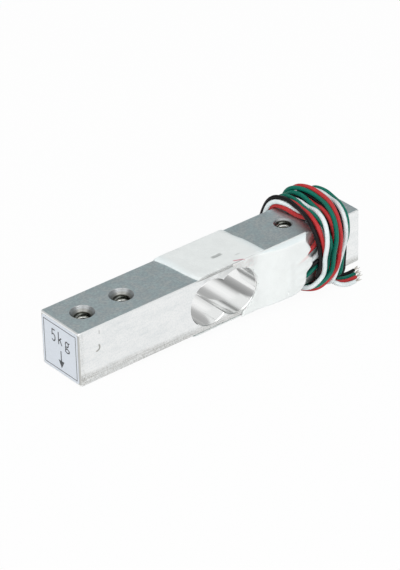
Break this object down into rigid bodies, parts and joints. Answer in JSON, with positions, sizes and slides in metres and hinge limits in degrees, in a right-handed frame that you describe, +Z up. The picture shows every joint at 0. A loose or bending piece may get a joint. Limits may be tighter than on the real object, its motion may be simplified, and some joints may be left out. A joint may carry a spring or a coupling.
{
  "type": "single point load cell",
  "caption": "Square aluminium bar load cell with a binocular bore, white gauge sealant and thin leads wound round its fixed end.",
  "frame": {"origin": "centre of the aluminium bar, midway between its end faces, sides and top and bottom faces", "axes": "+X along the bar from the loaded end to the fixed end where the leads are wound, +Z up towards the load platform, +Y away from the side that carries the terminal board"},
  "size_m": [0.0772, 0.0191, 0.0188],
  "materials": {
    "aluminium": "satin, extruded and tumbled, bright bore",
    "label": "printed sticker",
    "gauge_film": "polyimide film",
    "gauge_foil": "etched foil",
    "enamelled_wire": "red enamel over copper",
    "sealant": "white silicone, soft gloss",
    "board": "thin circuit board",
    "resistor": "ceramic chip with tinned caps",
    "solder": "tin solder",
    "insulation_red": "soft PVC",
    "insulation_black": "soft PVC",
    "insulation_white": "soft PVC",
    "insulation_green": "soft PVC",
    "tinned_copper": "tinned strands"
  },
  "bodies": {
    "root": {"spring_element": "aluminium", "end_label": "label", "gauge_film_top_load": "gauge_film", "gauge_grid_top_load": "gauge_foil", "gauge_film_top_fixed": "gauge_film", "gauge_grid_top_fixed": "gauge_foil", "jumper_top_load": "enamelled_wire", "jumper_top_mid": "enamelled_wire", "jumper_top_fixed": "enamelled_wire", "link_top": "enamelled_wire", "sealant_top": "sealant", "gauge_film_bottom_load": "gauge_film", "gauge_grid_bottom_load": "gauge_foil", "gauge_film_bottom_fixed": "gauge_film", "gauge_grid_bottom_fixed": "gauge_foil", "jumper_bottom_load": "enamelled_wire", "jumper_bottom_mid": "enamelled_wire", "jumper_bottom_fixed": "enamelled_wire", "link_bottom": "enamelled_wire", "sealant_bottom": "sealant", "sealant_side": "sealant", "terminal_board": "board", "trim_resistor_zero": "resistor", "trim_resistor_span": "resistor", "solder_red": "solder", "lead_red": "insulation_red", "free_end_red": "insulation_red", "tip_red": "tinned_copper", "solder_black": "solder", "lead_black": "insulation_black", "free_end_black": "insulation_black", "tip_black": "tinned_copper", "solder_white": "solder", "lead_white": "insulation_white", "free_end_white": "insulation_white", "tip_white": "tinned_copper", "solder_green": "solder", "lead_green": "insulation_green", "free_end_green": "insulation_green", "tip_green": "tinned_copper", "wire_winding": "insulation_black"}
  },
  "joints": []
}
